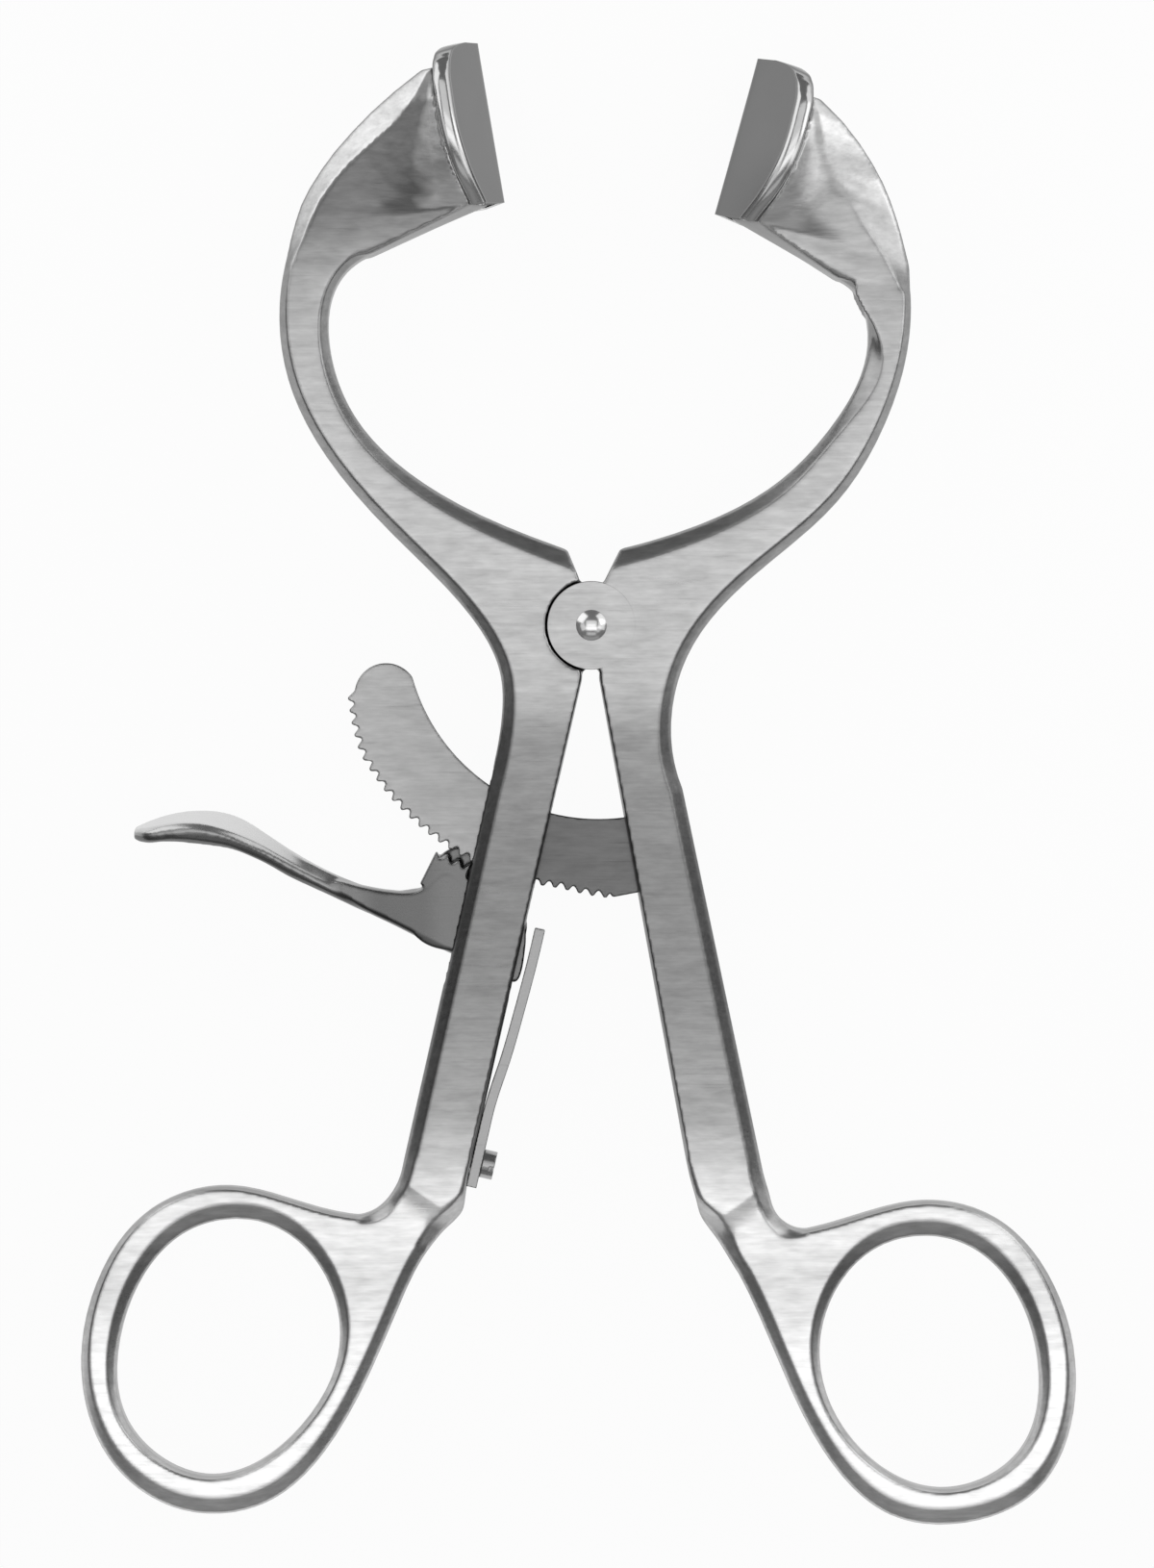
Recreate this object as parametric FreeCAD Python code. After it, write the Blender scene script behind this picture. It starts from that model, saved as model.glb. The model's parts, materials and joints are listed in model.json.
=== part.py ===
import FreeCAD, Part
import math
import os

os.makedirs("parts", exist_ok=True)

# Mouth gag, lying flat in XY with its jaws up (+Y) and its front towards +Z.
# Origin: on the pivot axis, in the flat back face of the joint. Millimetres.
# All pieces are drawn with the jaws part open, as the instrument usually lies.

V = FreeCAD.Vector

# Lever bars
bar_thickness = 6.0
bar_edge_depth = 1.3        # how far down the ground long edges reach
edge_knee_depth = 0.8       # share of that depth, and of the edge's width, where its slope
edge_knee_inset = 0.12      # turns down into the side
shank_outer_inset = 1.4     # width of a ground edge seen from the front
shank_inner_inset = 0.3
bow_outer_inset = 0.7       # the same beside the jaws
bow_inner_inset = 0.5
joint_inner_inset = 1.8     # the same on the inner side of the arms at the joint
mid_z = bar_thickness / 2
cut_margin = 1.0            # how far a cutting shape reaches past what it cuts

# Lap joint
hub_radius = 4.5
hub_groove = 0.25           # radial room between a hub disc and the recess round it
lap_gap = 0.05              # between the two lapped discs
rivet_radius = 1.35
rivet_fit = 0.04
rivet_head_radius = 1.6
rivet_head_height = 0.75
rivet_head_rim = 0.15        # straight edge of the head under its dome
rivet_head_gap = 0.03
rivet_flare = 0.5           # widening of the closed end in its countersink

# Finger rings
ring_thickness = 5.0
ring_edge_depth = 1.15
ring_face_inset = 1.0       # from the widest line of the ring to its bright front band
ring_face_lift = 0.7        # the band sits nearer the joint than the ring's widest line
neck_inset = 0.3

# Bite plates
plate_thickness = 1.6

# Ratchet arc
tooth_pitch = 2.72          # degrees, seen from the pivot
tooth_tip_radius = 27.6
tooth_depth = 0.8
tooth_tip_share = 0.22      # of the pitch, the blunt top of a tooth
arc_thickness = 1.8
arc_inner_radius = 20.15
arc_inner_offset = 0.75     # the inner edge's centre lies this far to the right of the pivot
arc_start_angle = 195.4     # first gap between teeth, counted anticlockwise from +X
arc_teeth = 29
arc_run_in = 1.2            # how much nearer the pivot the teeth lie at the free end
arc_run_out = 0.9           # how much further the last teeth lie
arc_shoulder = 0.7          # plain step after the last tooth
arc_nose_angle = 4.9        # length of the plain rounded nose at the free end
tenon_depth = 3.6           # into the right shank
squeeze_pitches = 6         # how far the handles close from the pose drawn
spread_pitches = 10         # how far the handles open, until the plates meet

# Slot through the left shank for the arc and the pawl
slot_front_wall = 1.5
slot_back_wall = 1.0
slot_top = arc_inner_radius - 3.15      # distances from the pivot along the shank
slot_bottom = tooth_tip_radius + 12.0
slot_clearance = 0.15

# Pawl. Its outlines and the thumb bar are drawn from the pin, which stands outside the teeth.
pawl_pin_height = 4.968     # of the pin above the tooth tips
pawl_pin_turn = 17.758      # degrees from the pawl's first tooth gap to the pin
pawl_pin_radius = 0.9
pawl_pin_fit = 0.04
pawl_pin_cover = 0.7        # steel left in front of the pin, so its end shows at the back alone
pawl_travel = 7.2           # degrees from the pose drawn, just clear, to full mesh
pawl_mesh_gap = 0.2         # radial room between meshed teeth
pawl_teeth = 3
pawl_nose_height = 3.5      # of the toothed nose, outwards from the arc
pawl_first_step = 15        # arc gap, counted from the free end, where the pawl's teeth begin
pawl_boss_radius = 2.3
pawl_outline = [(-10.5, 3.1), (-7.6, 4.7), (-5.6, 5.7), (-3.0, 4.3), (0.0, 2.1), (2.0, -0.2),
                (2.05, -2.7), (0.9, -5.9), (-0.8, -4.8), (-5.2, -2.7), (-9.5, -0.9)]
cheek_outline = [(-7.2, 4.8), (-6.4, 7.7), (-4.6, 8.3), (-2.0, 6.1), (-0.4, 3.3), (-1.5, 0.3),
                 (-5.5, 0.3)]
thumb_corner = 0.28         # how much of its thickness each corner of the bar loses
# x, top y, width, thickness, twist in degrees from flat side up
thumb_stations = [(-38.7, 10.35, 2.2, 0.9, 9), (-37.7, 10.85, 4.6, 1.5, 9), (-35.0, 11.8, 6.6, 1.9, 11),
                  (-32.1, 12.2, 7.2, 2.3, 12.5), (-28.6, 11.8, 6.4, 2.0, 19), (-25.1, 10.0, 4.0, 1.95, 30),
                  (-22.3, 8.2, 3.0, 1.9, 43), (-18.5, 6.0, 2.4, 1.6, 62), (-14.2, 4.1, 2.6, 1.9, 82),
                  (-11.2, 3.65, 3.7, 2.7, 90), (-8.6, 4.0, 5.4, 3.0, 90)]

# Leaf spring and its screw
spring_thickness = 1.1
spring_width = 3.6
spring_end_from_pin = [(3.65, -0.3), (2.7, -4.3)]       # the free end follows the pawl's tail
spring_line = [(-7.75, -41.0), (-9.0, -45.3), (-10.55, -50.0)]
screw_head_radius = 1.5
screw_head_height = 1.35
screw_shank_radius = 0.8
screw_length = 4.5
screw_slot_width = 0.4
screw_slot_depth = 0.5
screw_from_foot = 1.2       # from the lower end of the shank's inner side to the screw
spring_foot_below = 2.6
spring_foot_above = 3.4


nearly_straight = 0.5        # sine of the turn below which two edges are eased into each other


def at(point, z):
    return V(point[0], point[1], z)


def curve_through(points):
    curve = Part.BSplineCurve()
    curve.interpolate([V(x, y, 0) for x, y in points])
    return curve


def tangents(points):
    """Unit tangents of the smooth curve, or the straight line, through the points."""
    if len(points) == 2:
        (ax, ay), (bx, by) = points
        length = math.hypot(bx - ax, by - ay)
        return [((bx - ax) / length, (by - ay) / length)] * 2
    curve = curve_through(points)
    found = []
    for x, y in points:
        direction = curve.tangent(curve.parameter(V(x, y, 0)))[0]
        found.append((direction.x, direction.y))
    return found


def inset_point(point, first, first_inset, second, second_inset):
    """Where two edges cross after each has moved to the left of its direction."""
    n1 = (-first[1], first[0])
    n2 = (-second[1], second[0])
    cross = n1[0] * n2[1] - n1[1] * n2[0]
    if abs(cross) < nearly_straight and n1[0] * n2[0] + n1[1] * n2[1] > 0:
        amount = (first_inset + second_inset) / 2
        return (point[0] + amount * (n1[0] + n2[0]) / 2, point[1] + amount * (n1[1] + n2[1]) / 2)
    dx = (first_inset * n2[1] - second_inset * n1[1]) / cross
    dy = (second_inset * n1[0] - first_inset * n2[0]) / cross
    return (point[0] + dx, point[1] + dy)


def inset_outline(edges, share, lift):
    """Anticlockwise outline of (points, inset at the start, inset at the end) edges, moved inwards
    by a share of each inset."""
    directions = [tangents(points) for points, first, last in edges]
    moved = []
    for i, (points, first, last) in enumerate(edges):
        before, after = i - 1, (i + 1) % len(edges)
        steps = len(points) - 1
        row = []
        for k, (point, direction) in enumerate(zip(points, directions[i])):
            inset = share * (first + (last - first) * k / steps)
            row.append(inset_point(point, direction, inset, direction, inset))
        row[0] = inset_point(points[0], directions[before][-1], edges[before][2] * share,
                             directions[i][0], first * share)
        row[-1] = inset_point(points[-1], directions[i][-1], last * share,
                              directions[after][0], edges[after][1] * share)
        moved.append([(x, y + lift * share) for x, y in row])
    return moved


def wire_at(rows, z):
    parts = []
    for row in rows:
        if len(row) == 2:
            parts.append(Part.makeLine(at(row[0], z), at(row[1], z)))
        else:
            curve = Part.BSplineCurve()
            curve.interpolate([at(p, z) for p in row])
            parts.append(curve.toShape())
    return Part.Wire(parts)


def edge_levels(bottom, top, depth):
    """Heights of the outlines of a slab, each with the share of the inset it has there."""
    knee = edge_knee_depth * depth
    return [(bottom, 1.0), (bottom + knee, edge_knee_inset), (bottom + depth, 0.0),
            (top - depth, 0.0), (top - knee, edge_knee_inset), (top, 1.0)]


def rounded_slab(edges, bottom, top, depth, lift=0.0):
    """A flat bar with ground long edges: outlines stacked in Z and joined."""
    wires = [wire_at(inset_outline(edges, share, lift), z) for z, share in edge_levels(bottom, top, depth)]
    return Part.makeLoft(wires, True, True)


def ring_hole(loop, centre, lift, bottom, top, depth):
    """The opening of a finger ring, wider at both faces than in the middle."""
    wires = []
    levels = [(bottom - cut_margin, 1.0)] + edge_levels(bottom, top, depth) + [(top + cut_margin, 1.0)]
    for z, share in levels:
        points = []
        for x, y in loop:
            reach = math.hypot(x - centre[0], y - centre[1])
            grow = 1 + ring_face_inset * share / reach
            points.append(V(centre[0] + (x - centre[0]) * grow,
                            centre[1] + (y - centre[1]) * grow + lift * share, z))
        curve = Part.BSplineCurve()
        curve.interpolate(Points=points, PeriodicFlag=True)
        wires.append(Part.Wire([curve.toShape()]))
    return Part.makeLoft(wires, True, True)


# Outlines, anticlockwise, as drawn with the jaws part open: (points, inset) for each edge.

left_arm_outer = [(-31.89, 37.7), (-32.5, 33.5), (-31.4, 25.0), (-27.2, 17.0), (-20.2, 9.0),
                  (-12.6, 1.0), (-9.5, -5.0), (-9.3, -9.0), (-10.8, -17.0)]
left_shank_outer = [(-10.8, -17.0), (-19.85, -57.0)]
left_shank_end_outer = [(-19.85, -57.0), (-15.6, -60.5)]
left_shank_end_inner = [(-15.6, -60.5), (-12.75, -57.0)]
left_shank_inner = [(-12.75, -57.0), (-0.95, -5.5)]
left_hub_edge = [(-0.95, -5.5), (-1.27, 4.88)]
left_notch = [(-1.27, 4.88), (-2.5, 7.9)]
left_arm_inner = [(-2.5, 7.9), (-10.4, 11.0), (-17.7, 15.0), (-24.1, 21.0), (-27.3, 29.0),
                  (-26.8, 35.0), (-23.0, 38.7)]
left_arm_top = [(-23.0, 38.7), (-31.89, 37.7)]

right_arm_outer = [(9.5, -17.0), (8.4, -9.0), (10.1, -3.0), (16.7, 5.0), (25.7, 13.0),
                   (30.6, 21.0), (33.0, 29.0), (33.27, 34.65)]
right_arm_top = [(33.27, 34.65), (25.54, 36.16)]
right_arm_inner = [(25.54, 36.16), (27.3, 35.0), (28.9, 30.0), (25.2, 21.0),
                   (19.5, 15.0), (12.4, 11.0), (3.0, 8.0)]
right_notch = [(3.0, 8.0), (1.17, 4.28)]
right_hub_edge = [(1.17, 4.28), (0.79, -5.5)]
right_shank_inner = [(0.79, -5.5), (10.4, -58.6)]
right_shank_end_inner = [(10.4, -58.6), (13.9, -61.3)]
right_shank_end_outer = [(13.9, -61.3), (18.0, -57.4)]
right_shank_outer = [(18.0, -57.4), (9.5, -17.0)]

left_ring_loop = [(-23.8, -61.5), (-29.1, -60.5), (-37.9, -58.4), (-46.2, -61.0), (-51.6, -68.5),
                  (-53.2, -77.5), (-50.0, -87.2), (-42.5, -92.2), (-33.5, -91.2), (-26.7, -84.5),
                  (-20.1, -71.0), (-17.0, -65.0), (-14.0, -61.9)]
left_ring_neck = [(-14.0, -61.9), (-13.3, -59.4), (-16.0, -56.0), (-20.6, -58.8), (-23.8, -61.5)]
left_ring_hole = [(-38.2, -61.9), (-29.7, -65.0), (-26.2, -73.8), (-29.9, -83.0), (-40.0, -88.6),
                  (-48.4, -83.0), (-49.4, -75.5), (-44.6, -65.0)]

right_ring_loop = [(12.2, -62.7), (15.6, -68.0), (20.3, -78.5), (25.0, -87.2), (31.0, -92.6),
                   (39.0, -93.5), (46.6, -90.0), (50.4, -81.0), (48.6, -69.5), (42.6, -62.0),
                   (34.7, -59.95), (26.0, -62.0), (22.0, -63.0)]
right_ring_neck = [(22.0, -63.0), (19.2, -61.2), (14.5, -56.0), (11.2, -60.4), (12.2, -62.7)]
right_ring_hole = [(35.0, -63.6), (26.9, -67.2), (23.8, -75.5), (28.2, -86.0), (36.6, -90.0),
                   (44.8, -86.0), (46.7, -77.5), (42.6, -67.2)]


def corner_edges(points, inset):
    """A run of straight edges through the points."""
    return [([a, b], inset, inset) for a, b in zip(points, points[1:])]


left_bar_edges = [
    (left_arm_outer, bow_outer_inset, shank_outer_inset),
    (left_shank_outer, shank_outer_inset, shank_outer_inset),
    (left_shank_end_outer, shank_inner_inset, shank_inner_inset),
    (left_shank_end_inner, shank_inner_inset, shank_inner_inset),
    (left_shank_inner, shank_inner_inset, shank_inner_inset),
    (left_hub_edge, 0.0, 0.0),
    (left_notch, 0.0, 0.0),
    (left_arm_inner, joint_inner_inset, bow_inner_inset),
    (left_arm_top, 0.0, 0.0)]
right_bar_edges = [
    (right_arm_outer, shank_outer_inset, bow_outer_inset),
    (right_arm_top, 0.0, 0.0),
    (right_arm_inner, bow_inner_inset, joint_inner_inset),
    (right_notch, 0.0, 0.0),
    (right_hub_edge, 0.0, 0.0),
    (right_shank_inner, shank_inner_inset, shank_inner_inset),
    (right_shank_end_inner, shank_inner_inset, shank_inner_inset),
    (right_shank_end_outer, shank_inner_inset, shank_inner_inset),
    (right_shank_outer, shank_outer_inset, shank_outer_inset)]


def finger_ring(loop, neck, hole):
    bottom = mid_z - ring_thickness / 2
    top = mid_z + ring_thickness / 2
    edges = [(loop, ring_face_inset, ring_face_inset)] + corner_edges(neck, neck_inset)
    body = rounded_slab(edges, bottom, top, ring_edge_depth, ring_face_lift)
    centre = (sum(x for x, y in hole) / len(hole), sum(y for x, y in hole) / len(hole))
    return body.cut(ring_hole(hole, centre, ring_face_lift, bottom, top, ring_edge_depth))


# Jaws. Each is drawn in its own axes: s runs from heel to tip along the straight meeting edge,
# q runs outwards from that edge, and w is the height above or below the middle plane.

jaw_length = 16.9
plate_half_widths = [(0.0, 4.9), (3.0, 6.9), (6.9, 8.4), (11.2, 8.6), (14.1, 7.9)]   # (s, w)
plate_corner = 0.8          # s from the tip back to the shoulder
plate_shoulder_half_width = 6.0
plate_tip_half_width = 3.2
plate_lap = 0.15            # how far the rim stands proud of the jaw behind it
jaw_root = 3.2              # how far below the heel the flare starts
jaw_root_width = 0.05       # how far the flare starts below the bar's face
flare_bend_place = 0.45     # the flare is slightly hollow: at this share of its width
flare_bend_height = 0.40    # it has only this share of its height left
jaw_sections = 10

left_jaw = {"heel": (-9.0, 44.2), "tip": (-11.8, 60.8), "fall": 0.44, "side": -1, "root_q": 14.8,
            # s, ridge q, ridge w, outer q, outer w
            "root": (-jaw_root, 23.3, 2.9, 23.9, 1.7),
            "stem": [(0.0, 21.1, 3.0, 22.6, 1.6),
                     (3.2, 18.9, 3.4, 21.0, 1.7), (6.9, 14.5, 4.7, 17.8, 2.5),
                     (9.4, 9.9, 6.4, 14.8, 3.4), (12.0, 7.2, 7.6, 10.9, 5.2),
                     (14.4, 5.6, 7.5, 6.3, 7.0)]}
right_jaw = {"heel": (12.8, 43.0), "tip": (17.3, 59.3), "fall": 0.63, "side": 1, "root_q": 14.1,
             "root": (-jaw_root, 21.5, 2.9, 22.1, 1.7),
             "stem": [(0.0, 18.4, 3.05, 21.1, 1.6), (3.8, 14.0, 4.0, 18.9, 1.9), (7.5, 10.2, 6.1, 16.2, 2.7),
                      (10.0, 8.7, 7.5, 13.5, 4.6), (12.3, 7.7, 7.9, 10.3, 6.2),
                      (13.8, 7.0, 7.6, 7.5, 7.2)]}


def jaw_place(jaw):
    """A function from (s, q, w) to a point."""
    hx, hy = jaw["heel"]
    tx, ty = jaw["tip"]
    length = math.hypot(tx - hx, ty - hy)
    ex, ey = (tx - hx) / length, (ty - hy) / length
    ox, oy = (ey, -ex) if jaw["side"] > 0 else (-ey, ex)
    return lambda s, q, w: V(hx + ex * s + ox * q, hy + ey * s + oy * q, mid_z + w)


def eased(rows, s):
    """The row at s, between rows that start with their own s, with no overshoot between them."""
    places = [row[0] for row in rows]
    k = max(i for i in range(len(rows) - 1) if places[i] <= s or i == 0)
    span = places[k + 1] - places[k]
    t = (s - places[k]) / span
    found = []
    for column in range(1, len(rows[0])):
        steps = [(rows[i + 1][column] - rows[i][column]) / (places[i + 1] - places[i])
                 for i in range(len(rows) - 1)]
        slopes = []
        for i in range(len(rows)):
            before, after = steps[max(i - 1, 0)], steps[min(i, len(steps) - 1)]
            slopes.append(2 * before * after / (before + after) if before * after > 0 else 0.0)
        low, high = rows[k][column], rows[k + 1][column]
        found.append(low + (high - low) * (3 - 2 * t) * t ** 2
                     + span * slopes[k] * t * (1 - t) ** 2 - span * slopes[k + 1] * t ** 2 * (1 - t))
    return found


def tip_corner(q, sign):
    return (jaw_length, q, sign * plate_tip_half_width)


def bite_plate(jaw):
    """V-shaped plate: its ridge is the meeting edge and its rims fall away from the other jaw."""
    place = jaw_place(jaw)
    reach = max(w for s, w in plate_half_widths) + cut_margin
    fall = jaw["fall"]
    section = [(0, 0), (fall * reach, reach), (fall * reach + plate_thickness, reach),
               (plate_thickness, 0), (fall * reach + plate_thickness, -reach), (fall * reach, -reach)]
    start = [place(0, q, w) for q, w in section]
    profile = Part.Face(Part.makePolygon(start + start[:1]))
    slab = profile.extrude(place(jaw_length, 0, 0) - place(0, 0, 0))
    side = plate_half_widths + [(jaw_length - plate_corner, plate_shoulder_half_width),
                                (jaw_length, plate_tip_half_width)]
    front = -plate_thickness
    upper = Part.BSplineCurve()
    upper.interpolate([place(s, front, w) for s, w in side])
    lower = Part.BSplineCurve()
    lower.interpolate([place(s, front, -w) for s, w in reversed(side)])
    tip = Part.makeLine(place(*tip_corner(front, 1)), place(*tip_corner(front, -1)))
    heel_half = plate_half_widths[0][1]
    heel = Part.makeLine(place(0, front, -heel_half), place(0, front, heel_half))
    outline = Part.Face(Part.Wire([upper.toShape(), tip, lower.toShape(), heel]))
    depth = fall * reach + 2 * plate_thickness + cut_margin
    return slab.common(outline.extrude(place(0, depth, 0) - place(0, 0, 0)))


def jaw_section(place, s, inner_q, back, width, ridge):
    """Outline across the jaw: from the plate's back up a hollow flare to a ridge, and down a plain
    slope to the outer side, above and below the middle plane."""
    ridge_q, ridge_w, outer_q, outer_w = ridge
    bend = (back + flare_bend_place * (ridge_q - back), ridge_w + flare_bend_height * (width - ridge_w))
    halves = []
    for sign in (1, -1):
        flare = Part.BSplineCurve()
        flare.interpolate([place(s, q, sign * w) for q, w in [(back, width), bend, (ridge_q, ridge_w)]])
        slope = Part.makeLine(place(s, ridge_q, sign * ridge_w), place(s, outer_q, sign * outer_w))
        inner = Part.makeLine(place(s, inner_q, 0), place(s, back, sign * width))
        halves.append([inner, flare.toShape(), slope])
    nose = Part.makeLine(place(s, outer_q, outer_w), place(s, outer_q, -outer_w))
    return Part.Wire(Part.__sortEdges__(halves[0] + [nose] + halves[1]))


def jaw_head(jaw):
    """The flared end of an arm that carries the plate, with the root that grows out of the bar."""
    place = jaw_place(jaw)
    root_s, *root_ridge = jaw["root"]
    root_width = mid_z - jaw_root_width
    root = jaw_section(place, root_s, jaw["root_q"], jaw["root_q"], root_width, root_ridge)
    end = jaw["stem"][-1][0]
    wires = []
    for i in range(jaw_sections):
        s = end * i / (jaw_sections - 1)
        width = eased(plate_half_widths, s)[0] - plate_lap
        back = jaw["fall"] * width + plate_thickness
        wires.append(jaw_section(place, s, plate_thickness, back, width, eased(jaw["stem"], s)))
    return Part.makeLoft([root] + wires, True, True)


def shank_axes(top, bottom):
    """Unit vectors down a shank and across it, away from the middle for the left one."""
    dx, dy = bottom[0] - top[0], bottom[1] - top[1]
    length = math.hypot(dx, dy)
    down = V(dx / length, dy / length, 0)
    return down, V(-down.y, down.x, 0)


left_down, left_across = shank_axes(left_shank_inner[1], left_shank_inner[0])


def shank_slot():
    """Slot through the left shank, open at both of its sides: it reaches as far each way as it is long."""
    top, bottom = left_down * slot_top, left_down * slot_bottom
    half = left_across * (slot_bottom - slot_top)
    corners = [top - half, top + half, bottom + half, bottom - half]
    return plate_between([(c.x, c.y) for c in corners], slot_back_wall, bar_thickness - slot_front_wall)


def disc(radius, bottom, top):
    return Part.makeCylinder(radius, top - bottom, V(0, 0, bottom))


teeth_end_angle = arc_start_angle + arc_teeth * tooth_pitch
pawl_first_gap = arc_start_angle + pawl_first_step * tooth_pitch
working_start_angle = pawl_first_gap - spread_pitches * tooth_pitch
working_end_angle = pawl_first_gap + (pawl_teeth + 1 + squeeze_pitches) * tooth_pitch
arc_front = bar_thickness - slot_front_wall - slot_clearance
arc_back = arc_front - arc_thickness


def polar(radius, degrees):
    a = math.radians(degrees)
    return (radius * math.cos(a), radius * math.sin(a))


pawl_pin_place = polar(tooth_tip_radius + pawl_pin_height, pawl_first_gap + pawl_pin_turn)


def from_pin(points):
    """Points drawn from the pawl's pin, moved to their place. What follows x and y is kept."""
    return [(pawl_pin_place[0] + x, pawl_pin_place[1] + y, *rest) for x, y, *rest in points]


def tooth_radius(angle, base):
    """Teeth past the working range run in at the free end and out towards the right shank."""
    if angle < working_start_angle:
        return base - arc_run_in * (working_start_angle - angle) / (working_start_angle - arc_start_angle)
    if angle > working_end_angle:
        return base + arc_run_out * (angle - working_end_angle) / (teeth_end_angle - working_end_angle)
    return base


def zigzag(first_gap, teeth, lift):
    """Corners of a row of teeth about the pivot, moved outwards by lift."""
    flat = tooth_pitch * tooth_tip_share / 2
    corners = []
    for i in range(teeth):
        gap = first_gap + i * tooth_pitch
        tip = gap + tooth_pitch / 2
        corners.append(polar(tooth_radius(gap, tooth_tip_radius - tooth_depth) + lift, gap))
        corners.append(polar(tooth_radius(tip, tooth_tip_radius) + lift, tip - flat))
        corners.append(polar(tooth_radius(tip, tooth_tip_radius) + lift, tip + flat))
    last = first_gap + teeth * tooth_pitch
    corners.append(polar(tooth_radius(last, tooth_tip_radius - tooth_depth) + lift, last))
    return corners


def meet_line(radius, centre_x):
    """Where a circle about (centre_x, 0) meets the tenon's end, inside the right shank."""
    down, across = shank_axes(right_shank_inner[0], right_shank_inner[1])
    start = V(right_shank_inner[0][0], right_shank_inner[0][1], 0) + across * tenon_depth
    local = start - V(centre_x, 0, 0)
    along = local.dot(down)
    reach = -along + math.sqrt(along ** 2 - local.dot(local) + radius ** 2)
    end = start + down * reach
    return (end.x, end.y)


def ratchet_arc():
    """Toothed arc: its teeth are equal steps about the pivot, its inner edge has its own centre."""
    outer = zigzag(arc_start_angle, arc_teeth, 0.0)
    outer_end_radius = math.hypot(*outer[-1]) + arc_shoulder
    shoulder = polar(outer_end_radius, teeth_end_angle)
    outer_end = meet_line(outer_end_radius, 0.0)
    inner_end = meet_line(arc_inner_radius, arc_inner_offset)
    free = polar(arc_inner_radius, arc_start_angle)
    inner_start = (free[0] + arc_inner_offset, free[1])
    middle = polar(arc_inner_radius, (arc_start_angle + teeth_end_angle) / 2)
    inner_middle = (middle[0] + arc_inner_offset, middle[1])
    nose_radius = (arc_inner_radius + tooth_tip_radius) / 2 - arc_run_in / 2
    nose = polar(nose_radius, arc_start_angle - arc_nose_angle)
    outer += [shoulder, outer_end, inner_end]
    edges = [Part.makeLine(at(a, arc_back), at(b, arc_back)) for a, b in zip(outer, outer[1:])]
    inner = Part.Arc(at(inner_end, arc_back), at(inner_middle, arc_back), at(inner_start, arc_back))
    end = Part.Arc(at(inner_start, arc_back), at(nose, arc_back), at(outer[0], arc_back))
    edges += [inner.toShape(), end.toShape()]
    return Part.Face(Part.Wire(edges)).extrude(V(0, 0, arc_thickness))


def turned(shape, degrees):
    """A copy turned about the pawl's pin."""
    copy = shape.copy()
    copy.rotate(at(pawl_pin_place, 0), V(0, 0, 1), degrees)
    return copy


def plate_between(points, bottom, top):
    base = [at(p, bottom) for p in points]
    return Part.Face(Part.makePolygon(base + base[:1])).extrude(V(0, 0, top - bottom))


def smooth_plate(points, bottom, top):
    """A plate whose outline is one smooth closed curve."""
    curve = Part.BSplineCurve()
    curve.interpolate(Points=[at(p, bottom) for p in points], PeriodicFlag=True)
    return Part.Face(Part.Wire([curve.toShape()])).extrude(V(0, 0, top - bottom))


pawl_back = slot_back_wall + slot_clearance
pawl_front = bar_thickness - slot_front_wall - slot_clearance
cheek_front = arc_back - slot_clearance


def thumb_bar():
    """Twisted bar from the thumb pad, flat side up, to the pawl plate, flat side forward."""
    wires = []
    for x, top, width, thickness, twist in from_pin(thumb_stations):
        a = math.radians(twist)
        wide = (math.cos(a), -math.sin(a))
        thick = (-math.sin(a), -math.cos(a))
        ease = thumb_corner * thickness
        corners = [(ease, 0), (width - ease, 0), (width, ease), (width, thickness - ease),
                   (width - ease, thickness), (ease, thickness), (0, thickness - ease), (0, ease)]
        offsets = [(wide[0] * u + thick[0] * v, wide[1] * u + thick[1] * v) for u, v in corners]
        middle = (wide[0] * width + thick[0] * thickness) / 2
        points = [V(x, top + y, (pawl_back + pawl_front) / 2 + z - middle) for z, y in offsets]
        wires.append(Part.makePolygon(points + points[:1]))
    return Part.makeLoft(wires, True, False)


def pawl_lever():
    """Thumb lever, toothed plate and tail on one pin. The teeth are drawn in mesh, then turned back."""
    mesh = zigzag(pawl_first_gap, pawl_teeth, pawl_mesh_gap)
    nose_radius = tooth_tip_radius + pawl_nose_height
    ends = [polar(nose_radius, pawl_first_gap + pawl_teeth * tooth_pitch), polar(nose_radius, pawl_first_gap)]
    nose = turned(plate_between(mesh + ends, pawl_back, pawl_front), pawl_travel)
    plate = smooth_plate(from_pin(pawl_outline), pawl_back, pawl_front)
    boss = Part.makeCylinder(pawl_boss_radius, pawl_front - pawl_back, at(pawl_pin_place, pawl_back))
    cheek = smooth_plate(from_pin(cheek_outline), pawl_back, cheek_front)
    hole = Part.makeCylinder(pawl_pin_radius + pawl_pin_fit, bar_thickness, at(pawl_pin_place, 0))
    return plate.fuse([nose, boss, cheek, thumb_bar()]).cut(hole).removeSplitter()


def offset_strip(points, thickness, bottom, top):
    """A strip of even thickness along the smooth curve through the points."""
    half = thickness / 2
    directions = tangents(points)
    left = [(x - ty * half, y + tx * half) for (x, y), (tx, ty) in zip(points, directions)]
    right = [(x + ty * half, y - tx * half) for (x, y), (tx, ty) in zip(points, directions)]
    sides = [left, [left[-1], right[-1]], right[::-1], [right[0], left[0]]]
    return Part.Face(wire_at(sides, bottom)).extrude(V(0, 0, top - bottom))


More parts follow.
